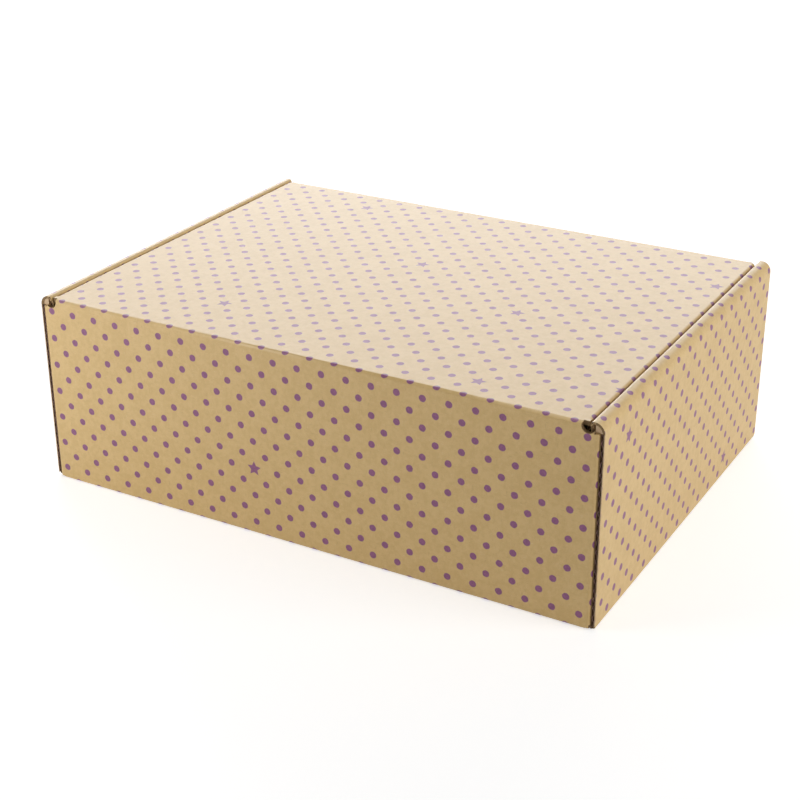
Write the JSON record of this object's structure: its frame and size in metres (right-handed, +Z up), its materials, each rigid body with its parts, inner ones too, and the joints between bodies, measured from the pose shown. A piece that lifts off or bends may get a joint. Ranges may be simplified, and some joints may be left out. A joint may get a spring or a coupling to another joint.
{
  "type": "corrugated mailer box",
  "caption": "Kraft corrugated mailer with rolled side rims, a tuck-in lid hinged on a long edge and a purple polka dot print.",
  "frame": {"origin": "centre of the underside of the floor panel", "axes": "+X along the hinge crease, +Y from the hinge side to the tuck side, +Z up"},
  "size_m": [0.21, 0.153, 0.07],
  "materials": {
    "tray": "uncoated kraft liner with a purple polka dot print outside",
    "lid": "uncoated kraft liner with a purple polka dot print outside"
  },
  "bodies": {
    "tray": {"tray": "tray"},
    "lid": {"lid": "lid"}
  },
  "joints": [
    {"name": "lid_hinge", "type": "hinge", "parent": "tray", "child": "lid", "pos_m": [0, -0.07618, 0.06928], "axis": [1, 0, 0], "range_deg": [0, 180]}
  ]
}
